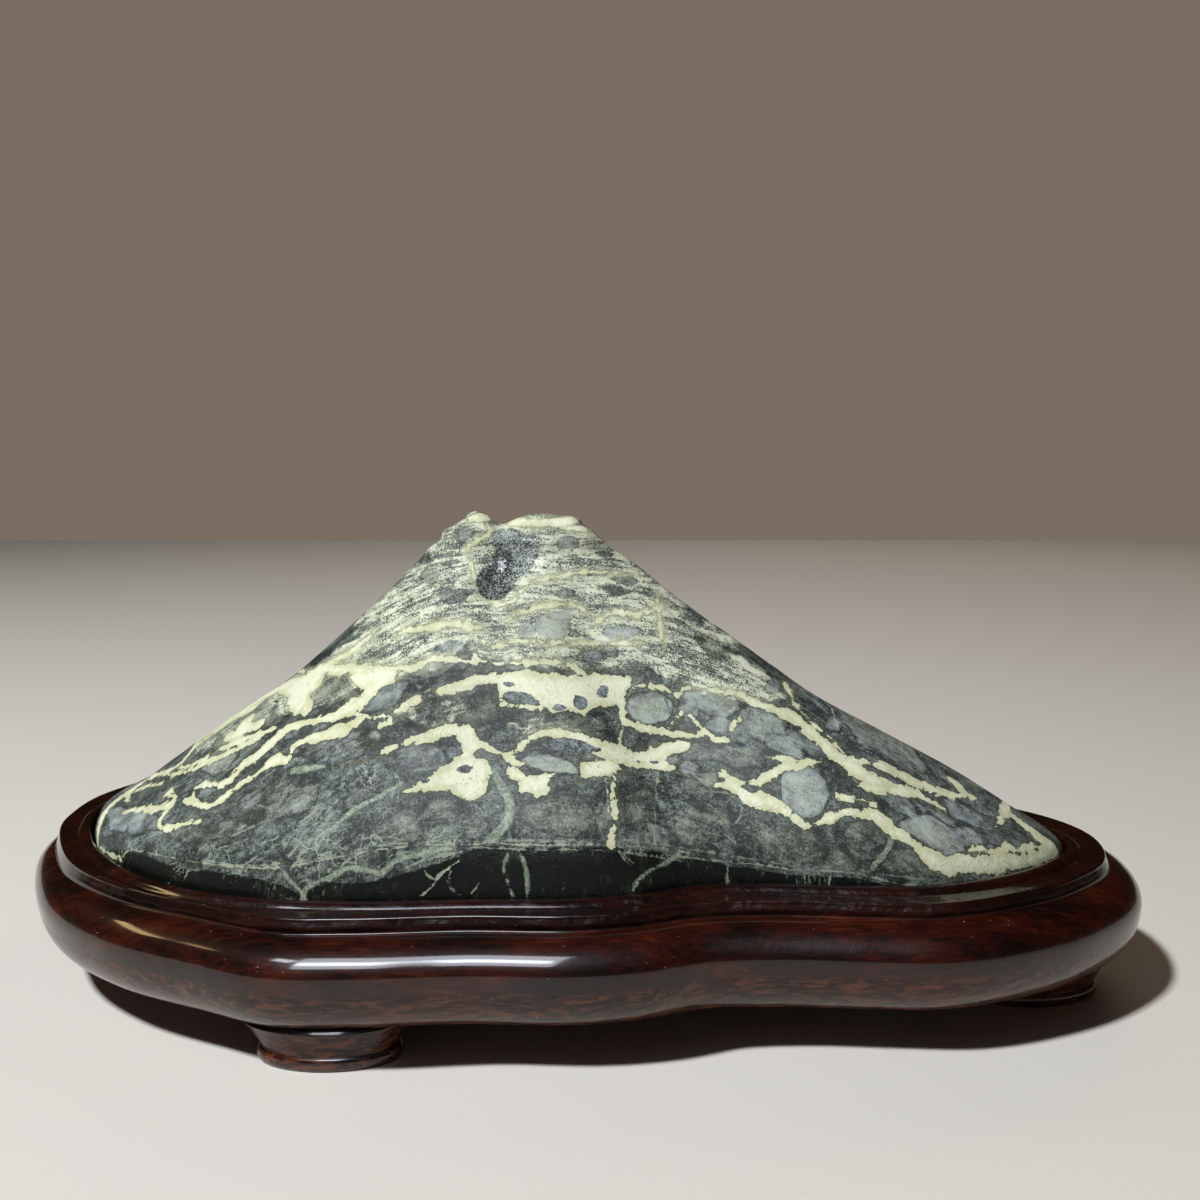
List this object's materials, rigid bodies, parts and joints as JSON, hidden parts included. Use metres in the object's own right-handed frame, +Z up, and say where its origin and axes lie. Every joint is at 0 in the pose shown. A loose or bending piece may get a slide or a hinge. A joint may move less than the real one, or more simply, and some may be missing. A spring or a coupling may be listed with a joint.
{
  "type": "scholars rock on a carved stand",
  "caption": "Mountain-shaped green and cream viewing stone with a small notched summit, seated in a fitted dark wooden stand with a bull-nose edge and low feet.",
  "frame": {"origin": "middle of the stand's outline, on the surface the feet stand on", "axes": "+X along the stone to its right end, +Y away from the viewing side, +Z up"},
  "size_m": [0.265, 0.1367, 0.1076],
  "materials": {
    "stone": "waxed satin, cream veins in grey-green breccia",
    "wood": "dark red-brown gloss lacquer over straight grain"
  },
  "bodies": {
    "root": {"stone": "stone", "stand": "wood", "foot_front_left": "wood", "foot_front_right": "wood", "foot_back_left": "wood", "foot_back_right": "wood"}
  },
  "joints": []
}
